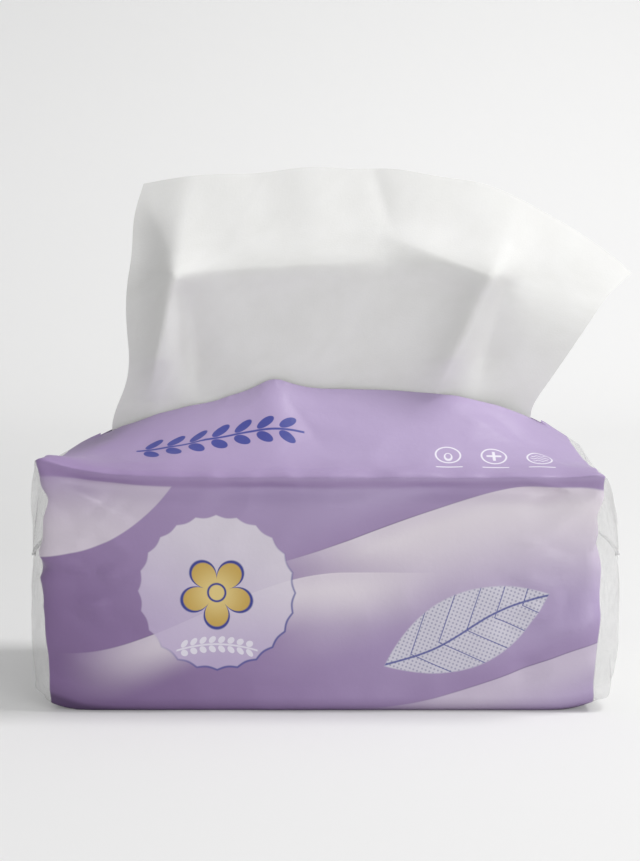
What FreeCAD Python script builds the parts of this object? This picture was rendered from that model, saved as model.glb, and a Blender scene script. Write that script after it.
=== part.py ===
import FreeCAD, Part
import math
import os

# A soft pack of facial tissue: a film wrapper round a stack of folded sheets, with one sheet
# standing half out of the slit in its top. Lengths are in millimetres. X runs along the pack,
# the printed front faces -Y, and Z = 0 is the surface that the pack stands on.

# Sheets and their stack.
SHEET_WIDTH = 184.0
FOLD_DEPTH = 88.0
STACK_HEIGHT = 74.0
STACK_ROUND = 8.0
SHEET_THICKNESS = 0.3

# Film wrapper.
FILM = 0.3
SIDE_ROOM = 2.0
END_ROOM = 1.8
EDGE_ROOM = 7.7
CORNER_LIFT_LEFT = 5.0
TENT_RISE = 28.0
TENT_FALL_LEFT = 2.0
TENT_FALL_RIGHT = 3.6
PEAK_RISE = 5.5
PEAK_X = -17.0
PEAK_WIDTH = 9.0
PANEL_SAG = 2.0
CREASE = 7.0
CREASE_OVERHANG = 1.0
RIDGE_ROUND = 0.4
WALL_DENT = 0.8
BOTTOM_CORNER = 5.0

# Ends of the wrapper, where the film is tucked in and heat-sealed.
BULGE_LEFT = 7.5
BULGE_RIGHT = 11.5
SEAL_HEIGHT = 52.0
SEAL_FIN = 2.7
SEAL_NARROWING = 0.34
SEAL_WALL = 0.6
GUSSET_DEPTH = 8.0
GUSSET_HEIGHT = 32.0
END_FULLNESS = 2.6

# Slit that is torn open along the top.
SLIT_END_MARGIN = 12.0
SLIT_WIDTH = 12.0

# Sheet that stands in the slit.
REST_GAP = 0.3
SHEET_LEAN = -4.5
FREE_EDGE_HEIGHT = 190.0
FREE_EDGE_TOP_X = 17.0
DROOP_LEFT = 6.0
DROOP_LEFT_SPAN = 85.0
DROOP_RIGHT = 41.0
DROOP_RIGHT_SPAN = 103.0
PLEAT_LEFT = 0.102
PLEAT_LEFT_FLANKS = (0.04, 0.09)
PLEAT_RIGHT = 0.767
PLEAT_RIGHT_FLANKS = (0.10, 0.05)
PLEAT_FADE = 0.08
SHEET_COLUMNS = 30

# Follows from the sizes above.
BODY_HALF_LENGTH = SHEET_WIDTH / 2 + END_ROOM
BODY_HALF_DEPTH = FOLD_DEPTH / 2 + SIDE_ROOM
STACK_TOP = FILM + STACK_HEIGHT
EDGE_HEIGHT = STACK_TOP + EDGE_ROOM
SLIT_HALF_LENGTH = BODY_HALF_LENGTH - SLIT_END_MARGIN
CLEAR = 1.0

# Where the outline of the film is divided: bottom, corner, wall, crease, top and back again.
PANEL_KNOTS = [0, 1, 4, 6, 10, 15, 19, 21, 24, 26]


def v(x, y, z):
    return FreeCAD.Vector(x, y, z)


def mix(a, b, share):
    return a + (b - a) * share


def spread(start, stop, steps):
    """Evenly spaced values from start up to, but not with, stop."""
    return [mix(start, stop, k / steps) for k in range(steps)]


def tent_height(x):
    """Height of the tented film over the middle of the pack, at a distance along it."""
    span = abs(x) / (BODY_HALF_LENGTH + BULGE_LEFT)
    fall = TENT_FALL_LEFT if x < 0 else TENT_FALL_RIGHT
    return EDGE_HEIGHT + TENT_RISE * (1 - min(span, 1.0) ** fall)


def ridge_height(x):
    """The same with the small peak where the film is creased."""
    return tent_height(x) + PEAK_RISE * math.exp(-(((x - PEAK_X) / PEAK_WIDTH) ** 2))


def front_edge_height(x):
    """Height of the crease between the top panel and the front wall."""
    lift = CORNER_LIFT_LEFT * max(0.0, -x / BODY_HALF_LENGTH) ** 6
    return EDGE_HEIGHT + lift


def section(x):
    """Poles of the film's outline at x, as (y, z): up the rear, over the ridge, down the front."""
    ridge = ridge_height(x)
    rear = side_poles(ridge, EDGE_HEIGHT)
    front = side_poles(ridge, front_edge_height(x))
    return [(0.0, -CLEAR)] + rear + [(0.0, ridge)] + [(-y, z) for y, z in reversed(front)]


def side_poles(ridge, edge):
    """Poles of one side of the outline, from its bottom to the slit."""
    half, wall = BODY_HALF_DEPTH, edge - CREASE
    return [
        (half / 2, -CLEAR),
        (half - BOTTOM_CORNER, -CLEAR),
        (half - BOTTOM_CORNER / 3, -CLEAR),
        (half, BOTTOM_CORNER / 2),
        (half, wall * 0.2),
        (half - WALL_DENT, wall * 0.6),
        (half, wall),
        (half + CREASE_OVERHANG, edge - CREASE * 0.3),
        (half, edge + CREASE * 0.15),
        (half - CREASE, edge + CREASE * 0.4),
        (mix(SLIT_WIDTH / 2, half, 0.45), mix(ridge, edge, 0.48) - PANEL_SAG),
        (SLIT_WIDTH / 2, ridge - RIDGE_ROUND),
    ]


def body_loop(x):
    return [v(x, y, z) for y, z in section(x)]


def end_loop(side, turn):
    """Outline part of the way round the end: 0 degrees is the body, and 90 is the end's seal."""
    bulge = BULGE_LEFT if side < 0 else BULGE_RIGHT
    out = math.sin(math.radians(turn)) ** (2 / END_FULLNESS)
    close = abs(math.cos(math.radians(turn))) ** (2 / END_FULLNESS)
    narrow = 1 - SEAL_NARROWING * (1 - close)
    outline = section(side * BODY_HALF_LENGTH)
    over = max(z for y, z in outline) - SEAL_HEIGHT
    loop = []
    for y, z in outline:
        above = z - SEAL_HEIGHT
        flat = FILM / (over if above > 0 else SEAL_HEIGHT + CLEAR)
        tuck = GUSSET_DEPTH * 2 * out * close * max(0.0, 1 - (above / GUSSET_HEIGHT) ** 2)
        deep = min(abs(y), mix(BODY_HALF_DEPTH, abs(y), close)) * narrow - tuck
        x = side * (BODY_HALF_LENGTH + bulge * out)
        loop.append(v(x, math.copysign(max(0.0, deep), y), SEAL_HEIGHT + above * mix(flat, 1, close)))
    return loop


def knot_row(poles, closed):
    """Knots and how often each counts, for a degree of two (or one, between two poles)."""
    if closed:
        return [float(k) for k in range(poles + 1)], [1] * (poles + 1), 2
    degree = min(2, poles - 1)
    knots = [float(k) for k in range(poles - degree + 1)]
    return knots, [degree + 1] + [1] * (len(knots) - 2) + [degree + 1], degree


def skin(rows, closed=False):
    """Surface over a grid of poles, rounded off between them, closed round each row or open."""
    along, along_mults, along_degree = knot_row(len(rows), False)
    across, across_mults, across_degree = knot_row(len(rows[0]), closed)
    surface = Part.BSplineSurface()
    surface.buildFromPolesMultsKnots(
        rows, along_mults, across_mults, along, across, False, closed, along_degree, across_degree
    )
    return surface


def panels(surface, along, across):
    """The surface as faces between the given knots."""
    faces = []
    for u_from, u_to in zip(along, along[1:]):
        for v_from, v_to in zip(across, across[1:]):
            panel = surface.copy()
            panel.segment(u_from, u_to, v_from, v_to)
            faces.append(panel.toShape())
    return faces


def offset_poles(rows, distance, closed=False):
    """The same poles moved off the surface, along its normal at each one."""
    moved = []
    for i, row in enumerate(rows):
        before, after = rows[max(i - 1, 0)], rows[min(i + 1, len(rows) - 1)]
        line = []
        for j, pole in enumerate(row):
            last = len(row) - 1
            left = row[j - 1] if closed else row[max(j - 1, 0)]
            right = row[(j + 1) % len(row)] if closed else row[min(j + 1, last)]
            normal = (right - left).cross(after[j] - before[j]).normalize()
            line.append(pole + normal * distance)
        moved.append(line)
    return moved


def sewn(faces):
    shell = Part.makeShell(faces)
    shell.sewShape()
    return upright(Part.makeSolid(shell))


def upright(solid):
    if solid.Volume < 0:
        solid.reverse()
    return solid


def wrapper_loops():
    """Outlines of the wrapper's outer skin from its left seal to its right one."""
    peak_from, peak_to = PEAK_X - 2 * PEAK_WIDTH, PEAK_X + 2 * PEAK_WIDTH
    middle = spread(-BODY_HALF_LENGTH, peak_from, 3) + spread(peak_from, peak_to, 4)
    middle += spread(peak_to, BODY_HALF_LENGTH, 4) + [BODY_HALF_LENGTH]
    turns = [18, 36, 54, 70, 82, 90]
    left = [end_loop(-1, turn) for turn in reversed(turns)]
    return left + [body_loop(x) for x in middle] + [end_loop(1, turn) for turn in turns]


def block(loops, floor_height):
    """Solid inside a row of outlines, cut off flat at its floor."""
    last = len(loops) - 2
    faces = panels(skin(loops, True), [0, 2, 4, last // 2, last - 4, last - 2, last], PANEL_KNOTS)
    for x in (loops[0][0].x, loops[-1][0].x):
        rim = [edge for face in faces for edge in face.Edges if lies_at(edge, x)]
        faces.append(Part.Face(Part.Wire(Part.__sortEdges__(rim))))
    length, depth = 4 * BODY_HALF_LENGTH, 4 * BODY_HALF_DEPTH
    corner = v(-length / 2, -depth / 2, floor_height - EDGE_HEIGHT)
    return sewn(faces).cut(Part.makeBox(length, depth, EDGE_HEIGHT, corner))


def lies_at(edge, x):
    return max(abs(corner.Point.x - x) for corner in edge.Vertexes) < 1e-6


def slit_cutter():
    """Long rounded opening, cut straight down through the ridge."""
    half, radius = SLIT_HALF_LENGTH - SLIT_WIDTH / 2, SLIT_WIDTH / 2
    z = STACK_TOP + EDGE_ROOM / 2
    outline = [
        Part.LineSegment(v(-half, -radius, z), v(half, -radius, z)),
        Part.Arc(v(half, -radius, z), v(half + radius, 0, z), v(half, radius, z)),
        Part.LineSegment(v(half, radius, z), v(-half, radius, z)),
        Part.Arc(v(-half, radius, z), v(-half - radius, 0, z), v(-half, -radius, z)),
    ]
    face = Part.Face(Part.Wire([line.toShape() for line in outline]))
    return face.extrude(v(0, 0, EDGE_ROOM + 2 * TENT_RISE))


def film_wrapper():
    """Printed film tube, sealed to a fin at both ends, with the slit open along its top."""
    outer = wrapper_loops()
    inner = offset_poles(outer, -FILM, True)
    gathered = offset_poles(outer, -SEAL_WALL, True)
    for end, side in ((3, -1), (-4, 1)):
        x = outer[end][0].x - side * SEAL_WALL
        inner[end] = [v(x, pole.y, pole.z) for pole in gathered[end]]
    inner = inner[3:-3]
    fins = [[pole + v(side * SEAL_FIN, 0, 0) for pole in outer[end]] for side, end in ((-1, 0), (1, -1))]
    hollow = block(fins[:1] + outer + fins[1:], 0.0).cut(block(inner, FILM))
    return hollow.cut(slit_cutter()).Solids[0]


def tissue_stack():
    """Interfolded sheets pressed into one block, with its long folds rounded."""
    block = Part.makeBox(
        SHEET_WIDTH, FOLD_DEPTH, STACK_HEIGHT, v(-SHEET_WIDTH / 2, -FOLD_DEPTH / 2, FILM)
    )
    folds = [e for e in block.Edges if e.BoundBox.XLength > SHEET_WIDTH / 2]
    return block.makeFillet(STACK_ROUND, folds).Solids[0]


def free_edge_height(x):
    """Height of the standing sheet's upper edge, which droops to both sides."""
    off = x - FREE_EDGE_TOP_X
    if off < 0:
        return FREE_EDGE_HEIGHT - DROOP_LEFT * (off / DROOP_LEFT_SPAN) ** 2
    return FREE_EDGE_HEIGHT - DROOP_RIGHT * (off / DROOP_RIGHT_SPAN) ** 2.3


# Rows of the lower half, which lies on the rear of the stack and rises to the slit. Each is: how
# far towards the rear as a share of half the fold depth, how far up the head space, and how much
# of its width is left as the slit gathers it.
LAID_ROWS = [
    (0.95, 0.0, 1.00),
    (0.56, 0.0, 1.00),
    (0.18, 0.0, 0.98),
    (-0.06, 0.08, 0.92),
    (-0.1, 0.5, 0.86),
]

# Rows of the upper half. Each is: how far back it stands between its pleats and beyond them, its
# height as a share of the way from the slit to the free edge, how far the pleats reach forward,
# how far the sides turn back, and how far its left and right edges lie beyond the slit's ends.
STANDING_ROWS = [
    (SHEET_LEAN, SHEET_LEAN, -0.05, 0.6, 1.0, -5.5, -4.0),
    (SHEET_LEAN, SHEET_LEAN, 0.04, 1.0, 1.5, -5.0, -3.0),
    (-1.5, -3.5, 0.20, 6.0, 5.0, -12.5, 3.5),
    (1.0, -2.0, 0.42, 9.0, 7.0, -10.5, 13.5),
    (-3.5, 0.5, 0.54, 9.5, 7.0, -10.5, 18.5),
    (0.0, 3.5, 0.63, 8.5, 7.0, -10.5, 22.0),
    (9.5, 11.5, 0.80, 4.0, 5.0, -11.5, 28.5),
    (21.0, 22.0, 1.00, 1.5, 3.0, -15.5, 36.5),
]


def pleats(across):
    """How far the sheet comes forward at a share of its width: one ridge near each side."""
    reach = 0.0
    for place, flanks in ((PLEAT_LEFT, PLEAT_LEFT_FLANKS), (PLEAT_RIGHT, PLEAT_RIGHT_FLANKS)):
        width = flanks[across > place]
        reach += math.exp(-(abs((across - place) / width) ** 1.3))
    return reach


def beyond_pleats(across):
    """Rises from 0 between the pleats to 1 a little way outside them."""
    past = max(PLEAT_LEFT - across, across - PLEAT_RIGHT) / PLEAT_FADE
    past = max(0.0, min(1.0, past))
    return past * past * (3 - 2 * past)


def margins(across):
    """How far the sheet turns back beyond its pleats."""
    left = max(0.0, 1 - across / PLEAT_LEFT)
    right = max(0.0, (across - PLEAT_RIGHT) / (1 - PLEAT_RIGHT))
    return left + right


def sheet_poles(columns):
    """Middle surface of the standing sheet, as rows of poles from its lower edge upwards."""
    shares = [k / (columns - 1) for k in range(columns)]
    low = STACK_TOP + REST_GAP + SHEET_THICKNESS / 2
    rows = []
    for back, up, width in LAID_ROWS:
        half = (SHEET_WIDTH / 2 - CLEAR) * width
        y, z = FOLD_DEPTH / 2 * back, mix(low, tent_height(0), up)
        rows.append([v(mix(-half, half, s), y, z) for s in shares])
    for folded, smooth, up, reach, turn, left, right in STANDING_ROWS:
        row = []
        for s in shares:
            x = mix(-SLIT_HALF_LENGTH - left, SLIT_HALF_LENGTH + right, s)
            inside = max(-SLIT_HALF_LENGTH, min(SLIT_HALF_LENGTH, x))
            z = mix(tent_height(inside), free_edge_height(x), up)
            y = mix(folded, smooth, beyond_pleats(s))
            row.append(v(x, y - reach * pleats(s) + turn * margins(s), z))
        rows.append(row)
    return rows


def standing_sheet():
    """Top sheet, pulled half out: its lower half on the stack, its upper half over the slit."""
    middle = sheet_poles(SHEET_COLUMNS)
    near = offset_poles(middle, SHEET_THICKNESS / 2)
    far = offset_poles(middle, -SHEET_THICKNESS / 2)
    rims = [
        [near[0], far[0]],
        [near[-1], far[-1]],
        [[row[0] for row in near], [row[0] for row in far]],
        [[row[-1] for row in near], [row[-1] for row in far]],
    ]
    return sewn([skin(rows).toShape() for rows in [near, far] + rims])


def main():
    os.makedirs("parts", exist_ok=True)
    pieces = {
        "film_wrapper": film_wrapper(),
        "tissue_stack": tissue_stack(),
        "standing_sheet": standing_sheet(),
    }
    for name, shape in pieces.items():
        shape.exportStep("parts/" + name + ".step")
        box = shape.optimalBoundingBox(False)
        print(
            name, shape.ShapeType, len(shape.Solids), shape.isValid(),
            "volume %.0f" % shape.Volume,
            "x %.1f %.1f  y %.1f %.1f  z %.1f %.1f"
            % (box.XMin, box.XMax, box.YMin, box.YMax, box.ZMin, box.ZMax),
        )


main()
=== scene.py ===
import math

import bmesh
import bpy
import numpy as np
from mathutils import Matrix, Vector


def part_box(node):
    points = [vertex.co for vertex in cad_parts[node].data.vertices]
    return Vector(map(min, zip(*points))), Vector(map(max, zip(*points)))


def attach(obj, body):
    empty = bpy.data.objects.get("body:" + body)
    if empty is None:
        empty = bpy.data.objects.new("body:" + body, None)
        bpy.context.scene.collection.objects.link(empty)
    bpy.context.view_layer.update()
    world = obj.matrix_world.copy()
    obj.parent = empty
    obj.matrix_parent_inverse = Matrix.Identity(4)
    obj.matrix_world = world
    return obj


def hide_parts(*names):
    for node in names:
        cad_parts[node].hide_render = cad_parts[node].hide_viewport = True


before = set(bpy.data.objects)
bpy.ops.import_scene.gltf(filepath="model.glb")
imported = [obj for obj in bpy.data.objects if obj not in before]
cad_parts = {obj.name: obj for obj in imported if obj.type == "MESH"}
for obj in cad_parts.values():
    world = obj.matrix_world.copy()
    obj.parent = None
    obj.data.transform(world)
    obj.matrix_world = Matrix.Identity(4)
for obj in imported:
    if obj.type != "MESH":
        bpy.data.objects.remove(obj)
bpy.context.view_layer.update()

# View from the photograph: a long lens in front of the pack, a little above it, looking down
# by a few degrees.
CAMERA_DISTANCE = 0.567
CAMERA_HEIGHT = 0.1515
CAMERA_PITCH = 5.9
CAMERA_LENS = 64.5
SENSOR_WIDTH = 36

lens = bpy.data.cameras.new("photo_view")
lens.lens = CAMERA_LENS
lens.sensor_width = SENSOR_WIDTH
lens.clip_start = 0.01
camera = bpy.data.objects.new("photo_view", lens)
camera.location = (0, -CAMERA_DISTANCE, CAMERA_HEIGHT)
camera.rotation_euler = (math.radians(90 - CAMERA_PITCH), 0, 0)
bpy.context.collection.objects.link(camera)
bpy.context.scene.camera = camera

# Stack of folded sheets: some 130 facial tissues of soft three-ply paper, each folded into the
# next and pressed into one block. Its long folds are round, and its ends show the cut edges of
# the sheets as fine uneven layers.
STACK_LOW, STACK_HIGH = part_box("tissue_stack")
STACK_ROUND = 0.008
LAYER = 0.0019
LAYER_UNEVEN = 0.0004
OUTLINE_STEPS = 160
END_SHARES = (0, 0.3, 0.6, 0.85, 0.97)
PAPER_WHITE = (0.82, 0.815, 0.80)
PAPER_GAP_PAINTED_SHADE = (0.52, 0.515, 0.51)


class Flow:
    """One value in a material's node tree. Arithmetic on it adds the Math nodes it needs."""

    def __init__(self, tree, socket=None):
        self.tree = tree
        self.socket = socket

    def node(self, kind, settings=None, values=None, output=0):
        made = self.tree.nodes.new("ShaderNode" + kind)
        for name, setting in (settings or {}).items():
            setattr(made, name, setting)
        for place, value in (values or {}).items():
            if isinstance(value, Flow):
                self.tree.links.new(value.socket, made.inputs[place])
            else:
                made.inputs[place].default_value = value
        return Flow(self.tree, made.outputs[output])

    def math(self, operation, *others):
        return self.node("Math", {"operation": operation}, dict(enumerate((self,) + others)))

    def __add__(self, other):
        return self.math("ADD", other)

    def __mul__(self, other):
        return self.math("MULTIPLY", other)

    def __sub__(self, other):
        return self.math("SUBTRACT", other)

    def __neg__(self):
        return self * -1

    def __rsub__(self, other):
        return -self + other

    def __truediv__(self, other):
        return self.math("DIVIDE", other)

    def __abs__(self):
        return self.math("ABSOLUTE")

    __radd__ = __add__
    __rmul__ = __mul__

    def step(self, start, stop):
        """Rises smoothly from 0 at start to 1 at stop."""
        limits = {"Value": self, "From Min": start, "From Max": stop}
        return self.node("MapRange", {"interpolation_type": "SMOOTHSTEP"}, limits)

    def inside(self, edge, soft=0.35):
        """1 where this is less than the edge and 0 where it is more, over a soft border."""
        return self.step(edge + soft, edge - soft)

    def either(self, other):
        """Joins two masks."""
        return self.math("MAXIMUM", other)

    def sine(self):
        return self.math("SINE")

    def cosine(self):
        return self.math("COSINE")

    def blend(self, under, over):
        """The colour under, with the colour over laid on it as far as this mask says."""
        return self.node("Mix", {"data_type": "RGBA"}, {0: self, 6: under, 7: over}, 2)

    def parts(self):
        return [self.node("SeparateXYZ", None, {0: self}, k) for k in range(3)]


def new_finish(name):
    """A material with an empty tree but for its shader, as (material, shader, start of a tree)."""
    material = bpy.data.materials.new(name)
    material.use_nodes = True
    return material, material.node_tree.nodes["Principled BSDF"], Flow(material.node_tree)


def feed(shader, **inputs):
    """Sets or links the shader's sockets; a socket's name is given with _ for its spaces."""
    for name, value in inputs.items():
        socket = shader.inputs[name.replace("_", " ")]
        if isinstance(value, Flow):
            value.tree.links.new(value.socket, socket)
        else:
            socket.default_value = value


def add_piece(name, points, faces, finish):
    """A smooth-shaded mesh object of the given points and faces, without points left over."""
    used, index = np.unique(np.array(faces).ravel(), return_inverse=True)
    corners = len(faces[0])
    mesh = bpy.data.meshes.new(name)
    mesh.from_pydata(points[used].tolist(), [], index.reshape(-1, corners).tolist())
    mesh.polygons.foreach_set("use_smooth", [True] * len(mesh.polygons))
    edge_of_corner = np.empty(len(mesh.loops), int)
    mesh.loops.foreach_get("edge_index", edge_of_corner)
    rim = np.bincount(edge_of_corner, minlength=len(mesh.edges)) == 1
    mesh.edges.foreach_set("use_edge_sharp", rim)
    mesh.materials.append(finish)
    piece = bpy.data.objects.new(name, mesh)
    bpy.context.collection.objects.link(piece)
    return piece


def grid_faces(rows, columns, closed):
    """Four-cornered faces over a grid of points, closed round each row or open."""
    i, j = np.meshgrid(np.arange(rows - 1), np.arange(columns - (not closed)), indexing="ij")
    i, j, k = i.ravel(), j.ravel(), (j.ravel() + 1) % columns
    low, high = i * columns, (i + 1) * columns
    return np.stack([low + j, low + k, high + k, high + j], 1)


def ripples(a, b, length, seed):
    """Smooth random waves about one high, with about the given length between crests."""
    random = np.random.default_rng(seed)
    total = 0
    for _ in range(9):
        angle, phase = random.uniform(0, 2 * math.pi, 2)
        wave = 2 * math.pi / (length * random.uniform(0.7, 1.5))
        total = total + np.sin((a * math.cos(angle) + b * math.sin(angle)) * wave + phase)
    return total / 3


def stack_outline():
    """Rounded outline of the stack, from its bottom up the rear and down the front."""
    half, middle = STACK_HIGH.y, (STACK_LOW.z + STACK_HIGH.z) / 2
    tall = STACK_HIGH.z - middle
    points = []
    for turn in np.linspace(-math.pi / 2, 1.5 * math.pi, OUTLINE_STEPS, endpoint=False):
        side, up = math.cos(turn), math.sin(turn)
        reach = min(
            (half - STACK_ROUND) / max(abs(side), 1e-9),
            (tall - STACK_ROUND) / max(abs(up), 1e-9),
        )
        y, z = side * reach, up * reach
        points.append((y + STACK_ROUND * side, middle + z + STACK_ROUND * up))
    return np.array(points)


def stack_points():
    outline = stack_outline()
    centre = np.array([0, (STACK_LOW.z + STACK_HIGH.z) / 2])
    stations = [(-1, share) for share in END_SHARES]
    stations += [(x, 1) for x in np.linspace(-0.992, 0.992, 60)]
    stations += [(1, share) for share in reversed(END_SHARES)]
    rows = []
    for place, share in stations:
        loop = centre + (outline - centre) * share
        x = np.full(len(loop), place * STACK_HIGH.x)
        sunk = LAYER_UNEVEN * (1 + ripples(0.3, loop[:, 1], 0.009, 5)) / 2
        x -= math.copysign(1, place) * sunk * (abs(place) == 1)
        rows.append(np.column_stack([x, loop]))
    return np.array(rows)


def paper_finish():
    """Soft white paper in fine layers, with painted shade in the gaps between them."""
    material, shader, start = new_finish("stacked_paper")
    place = start.node("TexCoord", None, None, 3)
    _, _, z = place.parts()
    drift = start.node("TexNoise", None, {"Vector": place, "Scale": 60.0, "Detail": 3.0})
    layer = ((z / LAYER + drift * 1.5) * (2 * math.pi)).sine()
    uneven = start.node("TexNoise", {"noise_dimensions": "1D"}, {"W": z * 900, "Detail": 2.0})
    depth = layer * 0.3 + uneven
    # Painted shade: the paper darkens between the layers, where the gaps between sheets lie in
    # shade.
    colour = depth.step(0.1, 0.9).blend((*PAPER_GAP_PAINTED_SHADE, 1), (*PAPER_WHITE, 1))
    edges = start.node("Bump", None, {"Strength": 0.5, "Distance": 0.0004, "Height": depth})
    feed(shader, Base_Color=colour, Roughness=0.9, Normal=edges)
    return material


stack_grid = stack_points()
stack = add_piece(
    "folded_sheets",
    stack_grid.reshape(-1, 3),
    grid_faces(*stack_grid.shape[:2], True),
    paper_finish(),
)
closed_ends = bmesh.new()
closed_ends.from_mesh(stack.data)
bmesh.ops.remove_doubles(closed_ends, verts=closed_ends.verts, dist=1e-6)
closed_ends.to_mesh(stack.data)
closed_ends.free()
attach(stack, "root")
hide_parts("tissue_stack")

# Film wrapper: one tube of soft polyethylene film, printed lilac except for milky clear ends,
# tented over the sheets that rise through its torn slit, and tucked in and heat-sealed to a
# short fin at both ends.
FILM_LOW, FILM_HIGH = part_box("film_wrapper")
END_ROOM = 0.0018
SIDE_ROOM = 0.002
EDGE_ROOM = 0.0077
HALF_LENGTH = STACK_HIGH.x + END_ROOM
HALF_DEPTH = STACK_HIGH.y + SIDE_ROOM
EDGE_HEIGHT = STACK_HIGH.z + EDGE_ROOM
SEAL_HEIGHT = 0.052
SEAL_FIN = 0.0027
BULGE = {-1: -FILM_LOW.x - SEAL_FIN - HALF_LENGTH, 1: FILM_HIGH.x - SEAL_FIN - HALF_LENGTH}
SEAL_NARROWING = 0.34
GUSSET_DEPTH = 0.008
GUSSET_HEIGHT = 0.032
END_FULLNESS = 2.6
SHOULDER_SLOPE = {-1: 0.8, 1: 0.45}
TENT_RISE = 0.028
TENT_FALL = {-1: 2.0, 1: 3.6}
PEAK_X = -0.017
PEAK_WIDTH = 0.009
PEAK_RISE = 0.0055
CORNER_LIFT = 0.005
PANEL_SAG = 0.002
CREASE = 0.007
CREASE_OVERHANG = 0.001
RIDGE_ROUND = 0.0004
WALL_DENT = 0.0008
BOTTOM_CORNER = 0.0038
UNDER = -0.0004
SLIT_END_MARGIN = 0.012
SLIT_HALF_WIDTH = 0.006
SLIT_HALF_LENGTH = HALF_LENGTH - SLIT_END_MARGIN
SLIT_TAPER = 0.014
SLIT_CLOSED = 0.004
FILM_GAUGE = 0.00015
STACK_GAP = 0.0004
SEAL_EASE = 0.004
FOOT_EASE = 0.0025
FIN_CRIMP = 0.00012
FIN_CRIMP_PITCH = 0.0022
LOW_CORNER_LIFT = 0.0032
TIP_PLACE = 0.0945
TIP_RISE = {-1: 0.0015, 1: 0.001}
TIP_PUSH = 0.0006
TORN_DEPTH = 0.0004
FLOOR_GAP = 0.00002


def mix(a, b, share):
    return a + (b - a) * share


def bump(distance, width):
    """Smooth hill of height one round a distance of nothing."""
    return np.exp(-((distance / width) ** 2))


def tent_height(x):
    side = -1 if x < 0 else 1
    span = min(1.0, abs(x) / (HALF_LENGTH + BULGE[-1]))
    return EDGE_HEIGHT + TENT_RISE * (1 - span ** TENT_FALL[side])


def film_section(x):
    """Poles of the film's outline at x, as (y, z): up the rear, over the ridge, down the front."""
    ridge = tent_height(x) + PEAK_RISE * math.exp(-(((x - PEAK_X) / PEAK_WIDTH) ** 2))
    lift = CORNER_LIFT * max(0.0, -x / HALF_LENGTH) ** 6
    rear = side_poles(ridge, EDGE_HEIGHT)
    front = side_poles(ridge, EDGE_HEIGHT + lift)
    return [(0.0, UNDER)] + rear + [(0.0, ridge)] + [(-y, z) for y, z in reversed(front)]


def side_poles(ridge, edge):
    """Poles of one side of the outline, from its bottom to the slit."""
    half, wall = HALF_DEPTH, edge - CREASE
    return [
        (half / 2, UNDER),
        (half - BOTTOM_CORNER, UNDER),
        (half - BOTTOM_CORNER / 3, UNDER),
        (half, BOTTOM_CORNER / 2),
        (half, wall * 0.2),
        (half - WALL_DENT, wall * 0.6),
        (half, wall),
        (half + CREASE_OVERHANG, edge - CREASE * 0.3),
        (half, edge + CREASE * 0.15),
        (half - CREASE, edge + CREASE * 0.4),
        (mix(SLIT_HALF_WIDTH, half, 0.45), mix(ridge, edge, 0.48) - PANEL_SAG),
        (SLIT_HALF_WIDTH, ridge - RIDGE_ROUND),
    ]


def film_end(side, turn):
    """Outline part of the way round an end: 0 degrees is the body, and 90 is the seal."""
    out = math.sin(math.radians(turn)) ** (2 / END_FULLNESS)
    close = abs(math.cos(math.radians(turn))) ** (2 / END_FULLNESS)
    narrow = 1 - SEAL_NARROWING * (1 - close)
    outline = film_section(side * HALF_LENGTH)
    over = max(z for y, z in outline) - SEAL_HEIGHT
    loop = []
    for y, z in outline:
        above = z - SEAL_HEIGHT
        flat = 2 * FILM_GAUGE / (over if above > 0 else SEAL_HEIGHT)
        tuck = GUSSET_DEPTH * 2 * out * close * max(0.0, 1 - (above / GUSSET_HEIGHT) ** 2)
        deep = min(abs(y), mix(HALF_DEPTH, abs(y), close)) * narrow - tuck
        z = SEAL_HEIGHT + above * mix(flat, 1, close)
        slope = SHOULDER_SLOPE[side] * (max(0.0, above) / over) * close
        x = side * (HALF_LENGTH + BULGE[side] * out * (1 - slope))
        loop.append((x, math.copysign(max(0.0, deep), y), z))
    return loop


def rounding(places, poles, closed):
    """Shares of each pole at places along a run of them that is rounded off between poles."""
    spans = poles if closed else poles - 2
    cell = np.minimum(places.astype(int), spans - 1)
    part = places - cell
    shares = np.zeros((len(places), poles))
    rows = np.arange(len(places))
    for step, share in enumerate(((1 - part) ** 2 / 2, 0.5 + part * (1 - part), part**2 / 2)):
        np.add.at(shares, (rows, (cell + step) % poles), share)
    return shares


def steps_along(counts):
    """Places along a run of spans, with so many steps in each."""
    return np.concatenate([k + np.arange(n) / n for k, n in enumerate(counts)])


# Steps of the mesh round the film, pole by pole, and the columns where it has its creases, its
# ridge and the two torn lips of its slit.
AROUND_REAR = [6, 5, 3, 4, 11, 16, 14, 8, 8, 8, 13, 8]
AROUND = AROUND_REAR + [4] + AROUND_REAR[::-1] + [6]
REAR_EDGE = sum(AROUND[:8])
REAR_LIP = sum(AROUND[:11]) + 5
RIDGE = sum(AROUND[:12]) + 2
FRONT_LIP = sum(AROUND[:14]) - 5
FRONT_EDGE = sum(AROUND[:17])


def film_points():
    """Points of the smooth film, row by row along the pack, each row once round it."""
    turns = [18, 36, 54, 70, 82, 90]
    body = [-HALF_LENGTH, -0.075, -0.056, PEAK_X - 2 * PEAK_WIDTH, PEAK_X - PEAK_WIDTH, PEAK_X]
    body += [PEAK_X + PEAK_WIDTH, PEAK_X + 2 * PEAK_WIDTH, 0.021, 0.041, 0.06, 0.078, HALF_LENGTH]
    loops = [film_end(-1, turn) for turn in reversed(turns)]
    loops += [[(x, y, z) for y, z in film_section(x)] for x in body]
    loops += [film_end(1, turn) for turn in turns]
    first = [(x - SEAL_FIN, y, z) for x, y, z in loops[0]]
    last = [(x + SEAL_FIN, y, z) for x, y, z in loops[-1]]
    poles = np.array([first, first] + loops + [last, last])
    along = [2, 3] + [5] * 6 + [11] * 11 + [5] * 6 + [3, 2]
    u = rounding(np.append(steps_along(along), len(along)), len(poles), False)
    v = rounding(steps_along(AROUND), poles.shape[1], True)
    return np.einsum("ap,pqc,bq->abc", u, poles, v)


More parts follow.
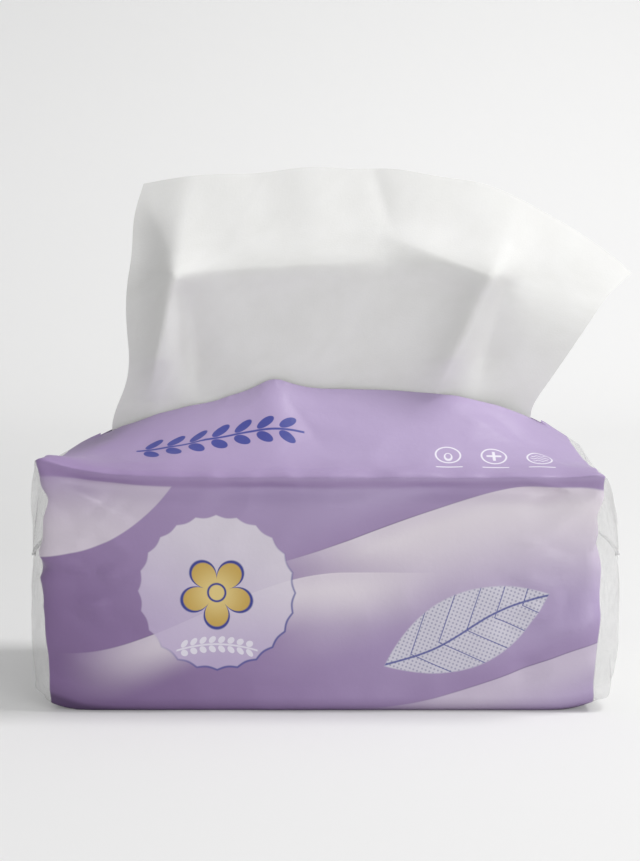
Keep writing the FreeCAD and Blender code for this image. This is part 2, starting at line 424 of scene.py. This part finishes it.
def outward(grid):
    """Unit normals of a grid that closes round each row."""
    along = np.gradient(grid, axis=0)
    around = np.roll(grid, -1, 1) - np.roll(grid, 1, 1)
    normal = np.cross(around, along)
    return normal / np.maximum(np.linalg.norm(normal, axis=2, keepdims=True), 1e-12)


def flat_places(grid):
    """Where each point lies on the flat film, in millimetres, for the rear and for the front.

    The first number runs along the pack from its middle, to the right as each side is seen. The
    second runs up from the crease between the wall and the top, and so is less than 0 on a wall.
    """
    looped = np.concatenate([grid, grid[:, :1]], 1) * 1000
    long = np.cumsum(np.linalg.norm(np.diff(looped, axis=0, prepend=looped[:1]), axis=2), 0)
    middle = np.argmin(abs(looped[:, 0, 0]))
    long -= long[middle]
    tall = np.cumsum(np.linalg.norm(np.diff(looped, axis=1, prepend=looped[:, :1]), axis=2), 1)
    rear = np.stack([-long, tall - tall[:, REAR_EDGE, None]], 2)
    front = np.stack([long, tall[:, FRONT_EDGE, None] - tall], 2)
    return rear, front


# Creases of the film, each from a point to a point on its flat place, with its height and its
# half width. They are pulled by hands and by the packing, and so lie differently on each side.
FRONT_CREASES = [
    ((-95, -1), (-90, -24), 1.6, 2.6),
    ((-96, -11), (-82, -17), -2.0, 2.4),
    ((-93, -4), (-62, -17), 1.7, 3.4),
    ((-98, -31), (-62, -37), 2.0, 2.6),
    ((-97, -36), (-72, -41), -1.8, 3.0),
    ((-92, -20), (-70, -26), -1.1, 3.2),
    ((-96, -50), (-78, -54), 0.9, 3.0),
    ((95, -1), (92, -24), 1.3, 2.6),
    ((94, -6), (68, -26), 1.4, 3.0),
    ((93, -22), (82, -50), -1.6, 3.4),
    ((97, -32), (74, -29), 1.3, 2.6),
    ((95, -48), (76, -62), 1.2, 3.2),
    ((-17, 50), (-58, 6), 0.7, 4.0),
    ((-17, 50), (6, 10), -0.5, 5.0),
    ((-40, 46), (-84, 12), -0.6, 4.0),
    ((40, 46), (88, 8), 0.7, 4.0),
    ((60, 42), (94, 2), -0.7, 3.5),
    ((-94, -62), (-76, -70), 0.6, 4.0),
    ((93, -66), (70, -74), 0.6, 4.0),
]
REAR_CREASES = [
    ((-96, -8), (-58, -20), 0.9, 4.0),
    ((-94, -30), (-70, -40), -0.9, 4.0),
    ((95, -10), (60, -24), 1.0, 4.0),
    ((94, -40), (76, -36), 0.8, 3.0),
    ((-50, 44), (-88, 6), 0.7, 4.0),
    ((55, 44), (88, 10), -0.7, 4.0),
    ((-12, 40), (14, 8), 0.5, 5.0),
]


def crease_lift(flat, creases, roundness=1.15):
    """Height of the creases at each flat place. Each swells from its start and dies away."""
    total = np.zeros(flat.shape[:2])
    for start, end, height, width in creases:
        start, run = np.array(start), np.subtract(end, start)
        share = np.clip(((flat - start) @ run) / (run @ run), 0, 1)
        away = np.linalg.norm(flat - start - share[..., None] * run, axis=2)
        swell = np.sin(math.pi * (0.25 + 0.7 * share))
        total += height * np.exp(-((away / width) ** roundness)) * swell
    return total


def short_creases(seed):
    """Little creases near both ends of a wall, where the film was folded in and pulled tight."""
    random = np.random.default_rng(seed)
    creases = []
    for side in (-1, 1):
        for _ in range(18):
            start = np.array([side * random.uniform(72, 99), random.uniform(-74, -4)])
            turn, length = random.uniform(-0.8, 0.8), random.uniform(8, 24)
            end = start - length * np.array([side * math.cos(turn), math.sin(turn)])
            height = random.choice((-1, 1)) * random.uniform(0.9, 1.8)
            creases.append((start, end, height, random.uniform(1.7, 2.8)))
    return creases


def film_lift(flat, creases, seed):
    """How far the film lies off its smooth form, in millimetres."""
    long, tall = flat[..., 0], flat[..., 1]
    # Broad waves with a few sharper ridges, a fine crinkle and the creases.
    lift = 0.3 * ripples(long, tall, 46, seed)
    lift += 0.3 * (0.7 - abs(ripples(long, tall * 1.4, 34, seed + 1)))
    lift += 0.06 * ripples(long * 0.6, tall, 9, seed + 2)
    lift += crease_lift(flat, creases)
    # A hollow under the crease between wall and top, which is pinched to a sharp edge itself.
    corner = np.clip((abs(long) - 62) / 28, 0, 1)
    tight = np.clip((95 - abs(long)) / 11, 0, 1)
    dent = 1.7 + 0.4 * ripples(long, 0, 40, seed + 3) + 1.1 * bump(abs(long) - 74, 14)
    lift -= dent * tight * bump(tall + 5, 3.2)
    lift += (0.4 + 0.8 * corner) * np.exp(-abs(tall) / 1.1)
    lift += 0.4 * ripples(long, tall * 0.3, 15, seed + 4) * bump(tall - 1, 5)
    # A fuller foot, and pull lines into the ends.
    lift += 1.5 * bump(tall + 79, 4)
    end = np.clip((abs(long) - 92) / 12, 0, 1)
    pull = abs(ripples(long * 0.2, tall, 34, seed + 5))
    lift += end * (0.3 - 0.7 * pull)
    return lift


def end_reach(x):
    """How far from the middle the film's end is sealed, on the side where each x lies."""
    return HALF_LENGTH + np.where(x < 0, BULGE[-1], BULGE[1])


def shape_fins(grid, smooth):
    """Crimps both fins and rounds them off, so that each is longest in the middle."""
    x, y, _ = np.moveaxis(smooth, 2, 0)
    fin = np.clip((abs(x) - end_reach(x) + 0.0002) / 0.001, 0, 1)
    off_middle = abs(y) / abs(y).max(1, keepdims=True)
    grid[..., 2] += fin * FIN_CRIMP * np.sin(y * 2 * math.pi / FIN_CRIMP_PITCH)
    grid[..., 0] -= fin * np.sign(x) * (SEAL_FIN - 0.0004) * off_middle**2


def shape_corners(grid, smooth, tall):
    """Lifts the lower corners off the floor and draws the upper ones out to tips."""
    x, y, z = np.moveaxis(smooth, 2, 0)
    low = np.clip((abs(x) - 0.078) / 0.018, 0, 1) ** 2 * bump(z, 0.012)
    grid[..., 2] += LOW_CORNER_LIFT * low * np.clip(y / 0.03, -1, 1) ** 2
    tip = bump(abs(x) - TIP_PLACE, 0.004) * np.exp(-abs(tall) / 2)
    grid[..., 2] += tip * np.where(y > 0, 0.0, np.where(x < 0, TIP_RISE[-1], TIP_RISE[1]))
    grid[..., 0] += tip * np.sign(x) * TIP_PUSH


def shape_slit(grid, smooth):
    """Closes the slit to a point at both ends and tears its lips unevenly."""
    x, y, z = np.moveaxis(smooth, 2, 0)
    past = abs(x) - SLIT_HALF_LENGTH
    taper = np.clip(1 + (past + SLIT_CLOSED) / SLIT_TAPER, 0, 1)
    closing = SLIT_HALF_WIDTH * np.sqrt(np.maximum(1 - taper**2, 0.0006))
    wide = np.where(past < 0, closing, np.minimum(SLIT_HALF_WIDTH, 0.0002 + past * 0.9))
    off_lip = abs(y) - SLIT_HALF_WIDTH
    near = np.clip(1 - off_lip / 0.009, 0, 1) * np.minimum(1, abs(y) / SLIT_HALF_WIDTH)
    torn = TORN_DEPTH * ripples(x * 1000, 0, 3.1, 7) * bump(off_lip, 0.001) * (past < 0)
    pulled = (SLIT_HALF_WIDTH - wide) * near + torn
    grid[..., 1] -= np.sign(y) * (z > EDGE_HEIGHT) * pulled


def clear_stack(grid):
    """Keeps the walls off the stack, round its long folds too."""
    x, y, z = np.moveaxis(grid, 2, 0)
    middle = (STACK_LOW.z + STACK_HIGH.z) / 2
    past_fold = np.maximum(abs(z - middle) - (STACK_HIGH.z - middle - STACK_ROUND), 0)
    round_fold = np.sqrt(np.maximum((STACK_ROUND + STACK_GAP) ** 2 - past_fold**2, 0))
    beside = (abs(y) > STACK_HIGH.y - STACK_ROUND) & (abs(x) < STACK_HIGH.x + 0.002)
    clear = STACK_HIGH.y - STACK_ROUND + round_fold
    pushed = beside & (round_fold > 0) & (abs(y) < clear)
    grid[..., 1] = np.where(pushed, np.sign(y) * clear, y)


def shaped_film(rear, front):
    """The film with its creases, fins, corners and slit, from the flat places of its sides."""
    smooth = film_points()
    x, _, z = np.moveaxis(smooth, 2, 0)
    on_rear = (np.arange(smooth.shape[1]) < RIDGE)[None, :]
    lift = np.where(
        on_rear,
        film_lift(rear[:, :-1], REAR_CREASES, 20),
        film_lift(front[:, :-1], FRONT_CREASES + short_creases(46), 40),
    )
    lift *= np.clip((end_reach(x) - abs(x)) / SEAL_EASE, 0, 1)
    lift *= np.clip(z / FOOT_EASE, 0, 1)
    grid = smooth + outward(smooth) * lift[..., None] / 1000
    shape_fins(grid, smooth)
    shape_corners(grid, smooth, np.where(on_rear, rear[:, :-1, 1], front[:, :-1, 1]))
    shape_slit(grid, smooth)
    grid[..., 2] = np.maximum(grid[..., 2], FLOOR_GAP)
    clear_stack(grid)
    return grid


rear_flat, front_flat = flat_places(film_points())
film_grid = shaped_film(rear_flat, front_flat)
film_faces = grid_faces(*film_grid.shape[:2], True)
row, col = np.divmod(np.arange(len(film_faces)), film_grid.shape[1])
centre = film_grid.reshape(-1, 3)[film_faces].mean(1)
in_slit = (col >= REAR_LIP) & (col < FRONT_LIP)
in_slit &= (abs(centre[:, 0]) < SLIT_HALF_LENGTH) & (centre[:, 2] > EDGE_HEIGHT)
keep = ~in_slit
corner_rows = np.stack([row, row, row + 1, row + 1], 1)[keep]
corner_cols = np.stack([col, col + 1, col + 1, col], 1)[keep]
is_rear = (col < RIDGE)[keep, None, None]
rear_uv, front_uv = rear_flat[corner_rows, corner_cols], front_flat[corner_rows, corner_cols]
flat_uv = np.where(is_rear, rear_uv, front_uv)

# Print on the film, in generic motifs: silk ribbons, a pale roundel with a blossom, a dotted
# leaf, a branch and three plain signs. Sizes are in millimetres on the flat film, from the middle
# of the front crease: u runs to the right, and s runs up.


def srgb(*levels):
    """A colour written in the levels of a screen, 0 to 255."""
    shares = [level / 255 for level in levels]
    linear = [((c + 0.055) / 1.055) ** 2.4 if c > 0.04 else c / 12.92 for c in shares]
    return (*linear, 1.0)


LILAC = srgb(177, 159, 196)
LILAC_DEEP = srgb(146, 120, 166)
LILAC_PAINTED_SHADE = srgb(118, 93, 136)
LILAC_PAINTED_UNDER_SHADE = srgb(82, 60, 98)
SILK = srgb(229, 221, 228)
SILK_SHADE = srgb(200, 186, 208)
LINE_DARK = srgb(96, 74, 122)
DISC_DEEP = srgb(196, 180, 213)
DISC_PALE = srgb(226, 220, 229)
QUILT = srgb(214, 212, 222)
QUILT_DOT = srgb(150, 148, 176)
INK_BLUE = srgb(52, 62, 146)
INK_GOLD = srgb(203, 168, 84)
GOLD_LIGHT = srgb(228, 204, 134)
PRINT_WHITE = srgb(240, 238, 245)
FILM_MILK = srgb(238, 238, 238)

# Each ribbon's upper edge runs in an S: its height at the left, its rise, the middle and half
# length of the S, how far down the ribbon fades out, its left and right ends and its strength.
RIBBONS = [
    (-34.0, 31.0, 18.0, 62.0, 44.0, -26.0, 150.0, 0.95),
    (-66.0, 33.0, -46.0, 54.0, 20.0, -92.0, 44.0, 0.9),
    (-80.0, 30.0, 74.0, 60.0, 22.0, 6.0, 150.0, 0.5),
]


def distance(a, b):
    return (a * a + b * b).math("SQRT")


def ground_and_painted_shade(u, s):
    """Lilac, deeper towards the foot and the left, partly a printed gradient and partly painted
    shade on the side away from the key light, with painted shade along the crease under the top.
    """
    colour = (s * -0.0068 - u * 0.0054).step(-0.25, 0.95).blend(LILAC, LILAC_DEEP)
    # Painted shade: a darker lilac at the lower left, on the side away from the key light.
    colour = (s * -0.011 - u * 0.009).step(0.7, 1.9).blend(colour, LILAC_PAINTED_SHADE)
    # Painted shade along the crease between wall and top, and on the top panel just above it.
    painted_crease_shade = abs(s + 2.2).inside(1.5, 1.2)
    painted_crease_shade = painted_crease_shade.either(s.step(16.0, 0.0) * s.step(-4.0, 0.0) * 0.5)
    return (painted_crease_shade * 0.55).blend(colour, LILAC_DEEP)


def print_silk(u, s, colour):
    """Silk ribbons on the wall, pale below a crisp edge, and a fold of silk at the upper left."""
    wall = s.inside(-3.6, 0.5)
    for base, rise, middle, spread, fade, left, right, strength in RIBBONS:
        below = (u - middle).step(-spread, spread) * rise + base - s
        reach = u.step(left, left + 42.0) * u.step(right, right - 42.0) * wall
        ribbon = below.step(-0.25, 0.25) * below.step(fade, fade * 0.1)
        colour = (ribbon * reach * strength).blend(colour, SILK)
        under = below.step(-0.2, 0.6) * below.step(7.0, 0.6) * reach
        colour = (under * 0.3).blend(colour, SILK_SHADE)
        over = below.step(-12.0, -0.2) * below.step(0.1, -0.1) * reach
        colour = (over * 0.45).blend(colour, LILAC_DEEP)
        line = abs(below).inside(0.2, 0.2) * reach
        line = line * (u - middle).step(-spread, 0.0) * (u - middle).step(spread * 0.9, 0.0)
        colour = (line * 0.6).blend(colour, LINE_DARK)
    corner = distance(u + 112.0, s - 42.0)
    fold = corner.inside(76.0, 0.3) * corner.step(38.0, 70.0) * wall
    sheen = (s + u * 0.3).step(-10.0, -50.0)
    return (fold * sheen * 0.3 + fold * 0.45).blend(colour, SILK)


def print_roundel(u, s, colour):
    """A pale roundel with a scalloped rim, a gold blossom rimmed in blue and a white sprig."""
    du, ds = u + 36.0, s + 40.0
    turn = ds.math("ARCTAN2", du)
    away = distance(du, ds)
    rim = away + abs((turn * 12.0).sine()) * 0.9
    sheen = (ds * 0.8 + du * 0.3).step(-24.0, 22.0)
    colour = (rim.inside(27.0) * 0.85).blend(colour, sheen.blend(DISC_DEEP, DISC_PALE))
    line = abs(rim - 27.0).inside(0.35, 0.25) * (turn + 0.9).cosine().step(-0.2, 0.9)
    colour = (line * 0.8).blend(colour, INK_BLUE)
    # Five petals round a ring.
    petal = abs((turn * 2.5 + 0.8).cosine()).math("POWER", 0.55) * 7.5 + 4.5
    colour = (away - petal).inside(1.0).blend(colour, INK_BLUE)
    gold = (away / 12.0).step(0.1, 1.0).blend(GOLD_LIGHT, INK_GOLD)
    colour = (away - petal).inside(-0.1, 0.3).blend(colour, gold)
    colour = abs(away - 3.0).inside(0.35, 0.2).blend(colour, INK_BLUE)
    # Sprig: a bent twig with pairs of leaflets.
    twig = abs(s + 58.0 + du * du * 0.012)
    sprig = twig.inside(0.3, 0.2) * abs(du).inside(14.0)
    beside = (twig - 1.6) / 1.2
    leaflet = ((du / 3.2).math("FRACT") * 3.2 - 1.6) / 1.15 - beside * 0.35
    leaflets = (leaflet * leaflet + beside * beside).inside(1.0, 0.15) * abs(du).inside(12.8)
    return (sprig.either(leaflets) * 0.75).blend(colour, PRINT_WHITE)


def print_leaf(u, s, colour):
    """A leaf of dotted, quilted paper, with blue veins."""
    tilt = math.radians(24)
    a = (u - 50.0) * math.cos(tilt) + (s + 53.0) * math.sin(tilt)
    b = (s + 53.0) * math.cos(tilt) - (u - 50.0) * math.sin(tilt)
    leaf = ((a / 31.0) * (a / 31.0) + abs(b / 13.0)).inside(1.0, 0.03)
    colour = (leaf * 0.9).blend(colour, QUILT)
    dot = 2 * math.pi / 1.9
    dots = (a * dot).sine() * (b * dot).sine()
    colour = (leaf * dots.step(0.25, 0.6) * 0.75).blend(colour, QUILT_DOT)
    vein = abs(b - (a * (1 / 9.0)).sine() * 1.5).inside(0.35, 0.2)
    ribs = ((a - abs(b) * 0.9) * (2 * math.pi / 10.5)).cosine().step(0.985, 0.998)
    return (vein.either(ribs) * leaf * 0.85).blend(colour, INK_BLUE)


def print_branch(u, s, colour):
    """A branch of blue leaves on the top panel."""
    stem = abs(s - 24.0 - ((u + 36.0) * (1 / 13.0)).sine() * 2.5)
    reach = abs(u + 36.0)
    off = stem - 3.4
    slant = (u / 8.0).math("FRACT") * 8.0 - 4.0 - off * 0.6
    blade = (slant / 2.5) * (slant / 2.5) + (off / 2.8) * (off / 2.8)
    branch = stem.inside(0.5, 0.2) * reach.inside(30.0)
    branch = branch.either(blade.inside(1.0, 0.12) * reach.inside(28.0))
    return (branch * 0.95).blend(colour, INK_BLUE)


def print_signs(u, s, colour):
    """Three small white signs in rings on the top panel, each over a rule."""

    def drop(pu, ps, far):
        edge = (pu * pu * 1.6 + ps * ps).math("SQRT") + ps * 0.5
        return abs(edge - 1.35).inside(0.3, 0.2)

    def cross(pu, ps, far):
        return abs(pu).math("MINIMUM", abs(ps)).inside(0.5, 0.2) * far.inside(2.6, 0.2)

    def waves(pu, ps, far):
        lines = ((ps + (pu * 2.2).sine() * 0.4) * (2 * math.pi / 1.8)).cosine()
        return lines.step(0.55, 0.8) * far.inside(3.2, 0.2)

    for middle, sign in ((44.0, drop), (60.0, cross), (76.0, waves)):
        pu, ps = u - middle, s - 14.0
        far = distance(pu, ps)
        ring = abs(far - 4.3).inside(0.3, 0.2)
        rule = abs(ps + 7.0).inside(0.3, 0.2) * abs(pu).inside(4.6, 0.3)
        mark = ring.either(sign(pu, ps, far)).either(rule)
        colour = (mark * 0.85).blend(colour, PRINT_WHITE)
    return colour


def print_limit(s):
    """How far from the middle the print stops, short of the milky clear ends."""
    limit = s.step(-80.0, -34.0) * 3.2 - s.step(-7.0, 3.0) * 2.0 + 93.8
    for middle, narrow, out in ((-33.0, 0.02, 2.0), (-13.0, 0.03, -3.0)):
        off = s - middle
        limit = limit + (off * off * -narrow).math("EXPONENT") * out
    return limit


def printed_film():
    """Lilac printed film, milky clear beyond the print, with painted shade at its foot, along the
    crease and at the lower left of each wall.
    """
    material, shader, start = new_finish("printed_film")
    u, s, _ = start.node("UVMap", {"uv_map": "flat"}).parts()
    place = start.node("TexCoord", None, None, 3)
    colour = ground_and_painted_shade(u, s)
    for motif in (print_silk, print_roundel, print_leaf, print_branch, print_signs):
        colour = motif(u, s, colour)
    # Painted shade at the foot of the wall, darkest where the film curves under to the floor.
    colour = (s.step(-76.0, -84.0) * 0.8).blend(colour, LILAC_PAINTED_SHADE)
    colour = (s.step(-80.0, -83.0) * 0.8).blend(colour, LILAC_PAINTED_UNDER_SHADE)
    inked = (abs(u) - print_limit(s)).inside(0.0, 0.3)
    colour = inked.blend(FILM_MILK, colour)
    grain = {"Vector": place, "Scale": 210.0, "Detail": 4.0, "Roughness": 0.6}
    crinkle = start.node("TexNoise", None, grain)
    fine = start.node("Bump", None, {"Strength": 0.25, "Distance": 0.0006, "Height": crinkle})
    clear = start.node("TexNoise", None, {"Vector": place, "Scale": 90.0, "Detail": 3.0})
    feed(
        shader,
        Base_Color=colour,
        Roughness=inked * 0.14 + crinkle * 0.1 + 0.22,
        Alpha=inked * 0.9 + (1 - inked) * clear * 0.14 + 0.1,
        Normal=fine,
    )
    return material


film = add_piece("film_tube", film_grid.reshape(-1, 3), film_faces[keep], printed_film())
film_uv = film.data.uv_layers.new(name="flat")
film_uv.data.foreach_set("uv", flat_uv.ravel())
gauge = film.modifiers.new("gauge", "SOLIDIFY")
gauge.thickness = FILM_GAUGE
gauge.offset = -1
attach(film, "root")
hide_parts("film_wrapper")

# Standing sheet: the top tissue, drawn half out of the slit. Its lower half still lies on the
# rear of the stack, and its upper half stands by its own folds, leaning back and opening into a
# wing at the right.
SHEET_WIDTH = 0.184
SHEET_HEIGHT = 0.176
SHEET_STEPS = (201, 181)
SHEET_THICKNESS = 0.00015
REST_GAP = 0.0003
SIDE_INSET = 0.001
FREE_EDGE_HEIGHT = 0.190
FREE_EDGE_TOP_X = 0.017
DROOP_LEFT = 0.006
DROOP_LEFT_SPAN = 0.085
DROOP_RIGHT = 0.041
DROOP_RIGHT_SPAN = 0.103
PLEATS = (0.102, 0.767)
PLEAT_FLANKS = ((0.04, 0.09), (0.10, 0.05))
PLEAT_FADE = 0.08
SHEET_COLUMNS = 40
# Rows of the half that lies on the stack. Each is: how far back it lies, as a share of the
# stack's half depth, its height as a share of the way up to the slit, and its width as a share.
LAID_ROWS = [
    (0.95, 0.0, 1.00),
    (0.56, 0.0, 1.00),
    (0.18, 0.0, 0.98),
    (-0.06, 0.08, 0.92),
    (-0.1, 0.5, 0.86),
]
# Rows of the half that stands, in millimetres. Each is: how far back it stands between its
# pleats and beyond them, its height as a share of the way from the slit to the free edge, how far
# the pleats reach forward, how far the sides turn back, and how far its left and right edges lie
# beyond the slit.
STANDING_ROWS = [
    (-4.5, -4.5, -0.05, 0.6, 2.8, -5.5, -4.5),
    (-4.5, -4.5, 0.04, 1.0, 3.0, -5.0, -4.0),
    (-3.5, -3.5, 0.20, 3.5, 3.5, -12.5, 3.5),
    (-3.0, -2.0, 0.42, 5.0, 3.5, -10.5, 13.5),
    (-4.0, 0.0, 0.54, 5.5, 4.0, -10.5, 18.5),
    (-1.0, 3.5, 0.63, 4.5, 3.2, -10.5, 22.0),
    (9.5, 11.5, 0.80, 2.0, 2.5, -11.5, 28.5),
    (21.0, 22.0, 1.00, 0.5, 1.5, -15.5, 36.5),
]
# Folds of the standing half, each from a point to a point as the pack is seen from the front, in
# millimetres, with how far it comes forward and its half width.
SHEET_FOLDS = [
    ((-52, 148), (-66, 92), 9.0, 7.5),
    ((-48, 142), (-43, 86), -7.0, 7.0),
    ((-52, 151), (24, 155), 3.0, 9.0),
    ((-52, 151), (-67, 184), 2.0, 9.0),
    ((60, 150), (22, 165), 3.4, 7.0),
    ((62, 150), (38, 98), 6.5, 7.0),
    ((67, 145), (54, 92), -5.0, 6.5),
    ((63, 150), (78, 186), 1.4, 9.0),
    ((20, 190), (27, 166), -1.5, 5.0),
    ((-20, 188), (-34, 158), 1.0, 7.0),
]


def free_edge_height(x):
    off = x - FREE_EDGE_TOP_X
    if off < 0:
        return FREE_EDGE_HEIGHT - DROOP_LEFT * (off / DROOP_LEFT_SPAN) ** 2
    return FREE_EDGE_HEIGHT - DROOP_RIGHT * (off / DROOP_RIGHT_SPAN) ** 2.3


def pleat_reach(share):
    """How far the sheet comes forward at a share of its width: one ridge near each side."""
    ridges = zip(PLEATS, PLEAT_FLANKS)
    return sum(math.exp(-(abs((share - p) / flanks[share > p]) ** 1.3)) for p, flanks in ridges)


def past_ends(grid):
    """The grid with its first and last rows moved out, so that its rounding reaches them."""
    return np.concatenate([2 * grid[:1] - grid[1:2], grid[1:-1], 2 * grid[-1:] - grid[-2:-1]])


def sheet_poles():
    """Poles of the sheet, row by row from its end on the stack to its free edge."""
    low = STACK_HIGH.z + REST_GAP + SHEET_THICKNESS / 2
    left_pleat, right_pleat = PLEATS
    shares = np.linspace(0, 1, SHEET_COLUMNS)
    rows = []
    for back, up, width in LAID_ROWS:
        half = (STACK_HIGH.x - SIDE_INSET) * width
        y, z = STACK_HIGH.y * back, mix(low, tent_height(0), up)
        rows.append([(mix(-half, half, s), y, z) for s in shares])
    for folded, smooth, up, reach, turn, left, right in STANDING_ROWS:
        line = []
        for s in shares:
            x = mix(-SLIT_HALF_LENGTH - left / 1000, SLIT_HALF_LENGTH + right / 1000, s)
            inner = max(-SLIT_HALF_LENGTH, min(SLIT_HALF_LENGTH, x))
            z = mix(tent_height(inner), free_edge_height(x), up)
            turned = max(0.0, 1 - s / left_pleat)
            turned += max(0.0, (s - right_pleat) / (1 - right_pleat))
            beyond = np.clip(max(left_pleat - s, s - right_pleat) / PLEAT_FADE, 0, 1)
            y = mix(folded, smooth, beyond * beyond * (3 - 2 * beyond))
            line.append((x, (y - reach * pleat_reach(s) + turn * turned) / 1000, z))
        rows.append(line)
    return past_ends(past_ends(np.array(rows)).swapaxes(0, 1)).swapaxes(0, 1)


def sheet_points():
    """Points of the sheet, with its folds and small waves."""
    poles = sheet_poles()
    rows, columns = poles.shape[:2]
    across_steps, up_steps = SHEET_STEPS
    up = rounding(np.linspace(0, rows - 2, up_steps), rows, False)
    across = rounding(np.linspace(0, columns - 2, across_steps), columns, False)
    grid = np.einsum("ap,pqc,bq->abc", up, poles, across)
    x, _, z = np.moveaxis(grid * 1000, 2, 0)
    over_edge = z - EDGE_HEIGHT * 1000
    out = np.clip((over_edge - 22) / 16, 0, 1)
    grid[..., 1] -= out * crease_lift(grid[..., [0, 2]] * 1000, SHEET_FOLDS, 1.4) / 1000
    loose = np.clip((over_edge - 30) / 80, 0, 1)
    waves = ripples(x, z * 0.5, 52, 61) + 0.25 * ripples(x, z * 0.6, 17, 62)
    grid[..., 1] += loose * waves / 1000
    grid[..., 2] += loose**3 * 0.6 * ripples(x, 0, 38, 63) / 1000
    sideways = 0.7 * ripples(z, 0, 34, 64) * np.clip(abs(x) / 60, 0, 1)
    grid[..., 0] += loose * sideways / 1000
    return grid


TISSUE_DULL = srgb(228, 228, 224)
TISSUE_WHITE = srgb(235, 235, 232)


def sheet_finish():
    """Soft white tissue with a fine crepe across it."""
    material, shader, start = new_finish("tissue")
    flat = start.node("UVMap", {"uv_map": "flat"})
    crepe = start.node("TexNoise", None, {"Vector": flat, "Scale": 1400.0, "Detail": 3.0})
    cloud = start.node("TexNoise", None, {"Vector": flat, "Scale": 60.0, "Detail": 4.0})
    tone = cloud.step(0.2, 0.8).blend(TISSUE_DULL, TISSUE_WHITE)
    fine = start.node("Bump", None, {"Strength": 0.2, "Distance": 0.0002, "Height": crepe + cloud})
    feed(shader, Base_Color=tone, Roughness=0.92, Normal=fine)
    feed(shader, Subsurface_Weight=0.35, Subsurface_Scale=0.0012)
    feed(shader, Subsurface_Radius=(1.0, 1.0, 0.95))
    return material


sheet_grid = sheet_points()
sheet_faces = grid_faces(*sheet_grid.shape[:2], False)
sheet = add_piece("standing_tissue", sheet_grid.reshape(-1, 3), sheet_faces, sheet_finish())
across, up = np.meshgrid(
    np.linspace(0, SHEET_WIDTH, SHEET_STEPS[0]),
    np.linspace(0, SHEET_HEIGHT, SHEET_STEPS[1]),
)
sheet_uv = sheet.data.uv_layers.new(name="flat")
sheet_uv.data.foreach_set("uv", np.stack([across.ravel(), up.ravel()], 1)[sheet_faces].ravel())
plies = sheet.modifiers.new("plies", "SOLIDIFY")
plies.thickness = SHEET_THICKNESS
plies.offset = 0
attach(sheet, "root")
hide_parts("standing_sheet")

# Floor and backdrop: one pale sweep of matt paper, three metres wide, that lies flat under the
# pack and curves up behind it. It glows a little where the camera sees it, as in a bright studio,
# and the glow is painted light: brighter to the right and to the back, and dimmer higher up.
SWEEP_WIDTH = 3.0
SWEEP_FRONT = -2.0
SWEEP_BACK = 0.9
SWEEP_BEND = 0.5
SWEEP_TOP = 2.2
SWEEP_PAPER = srgb(221, 221, 220)
sweep = [(SWEEP_FRONT, 0.0), (SWEEP_BACK, 0.0)]
for turn in np.linspace(0.1, math.pi / 2, 16):
    bend = (SWEEP_BACK + SWEEP_BEND * math.sin(turn), SWEEP_BEND - SWEEP_BEND * math.cos(turn))
    sweep.append(bend)
sweep.append((SWEEP_BACK + SWEEP_BEND, SWEEP_TOP))
sides = (SWEEP_WIDTH / 2, -SWEEP_WIDTH / 2)
sweep_points = np.array([[(x, y, z) for y, z in sweep] for x in sides])
paper, sweep_shader, start = new_finish("backdrop_paper")
x, y, z = start.node("TexCoord", None, None, 3).parts()
seen = start.node("LightPath")
# Painted light: the glow grows to the right and to the back and fades higher up, as light from the
# key falls.
painted_light_falloff = y.step(0.2, 1.2) * 0.185 - z.step(0.2, 1.0) * 0.1 + x.step(-0.6, 0.6) * 0.09
glow = (seen * (painted_light_falloff + 0.085)).blend((0, 0, 0, 1), (1, 1, 1, 1))
feed(
    sweep_shader,
    Base_Color=SWEEP_PAPER,
    Roughness=0.95,
    Emission_Color=glow,
    Emission_Strength=1.0,
)
sweep_faces = grid_faces(2, len(sweep), False)
backdrop = add_piece("backdrop", sweep_points.reshape(-1, 3), sweep_faces, paper)

# Light of a plain studio: a soft key high at the right, a broad weak fill from the front right,
# and a pale sky all round, which the camera sees brighter than it lights.
SKY_LIGHT = srgb(185, 185, 186)
SKY_SEEN = srgb(238, 238, 237)
PACK_MIDDLE = (0, 0, 0.08)


def add_light(name, place, target, size, power):
    lamp = bpy.data.lights.new(name, "AREA")
    lamp.size = size
    lamp.energy = power
    made = bpy.data.objects.new(name, lamp)
    made.location = place
    aim = np.subtract(place, target)
    turn = math.atan2(aim[1], aim[0])
    tilt = math.atan2(math.hypot(aim[0], aim[1]), aim[2])
    made.rotation_euler = (0, tilt, turn)
    bpy.context.collection.objects.link(made)


add_light("key", (0.64, 0.03, 1.2), PACK_MIDDLE, 0.34, 9.2)
add_light("fill", (0.9, -1.3, 0.5), PACK_MIDDLE, 0.8, 7.3)
world = bpy.data.worlds.new("sky")
world.use_nodes = True
sky = world.node_tree.nodes["Background"]
start = Flow(world.node_tree)
shown = start.node("LightPath").blend(SKY_LIGHT, SKY_SEEN)
feed(sky, Color=shown, Strength=1.0)
bpy.context.scene.world = world
bpy.context.scene.view_settings.view_transform = "Standard"
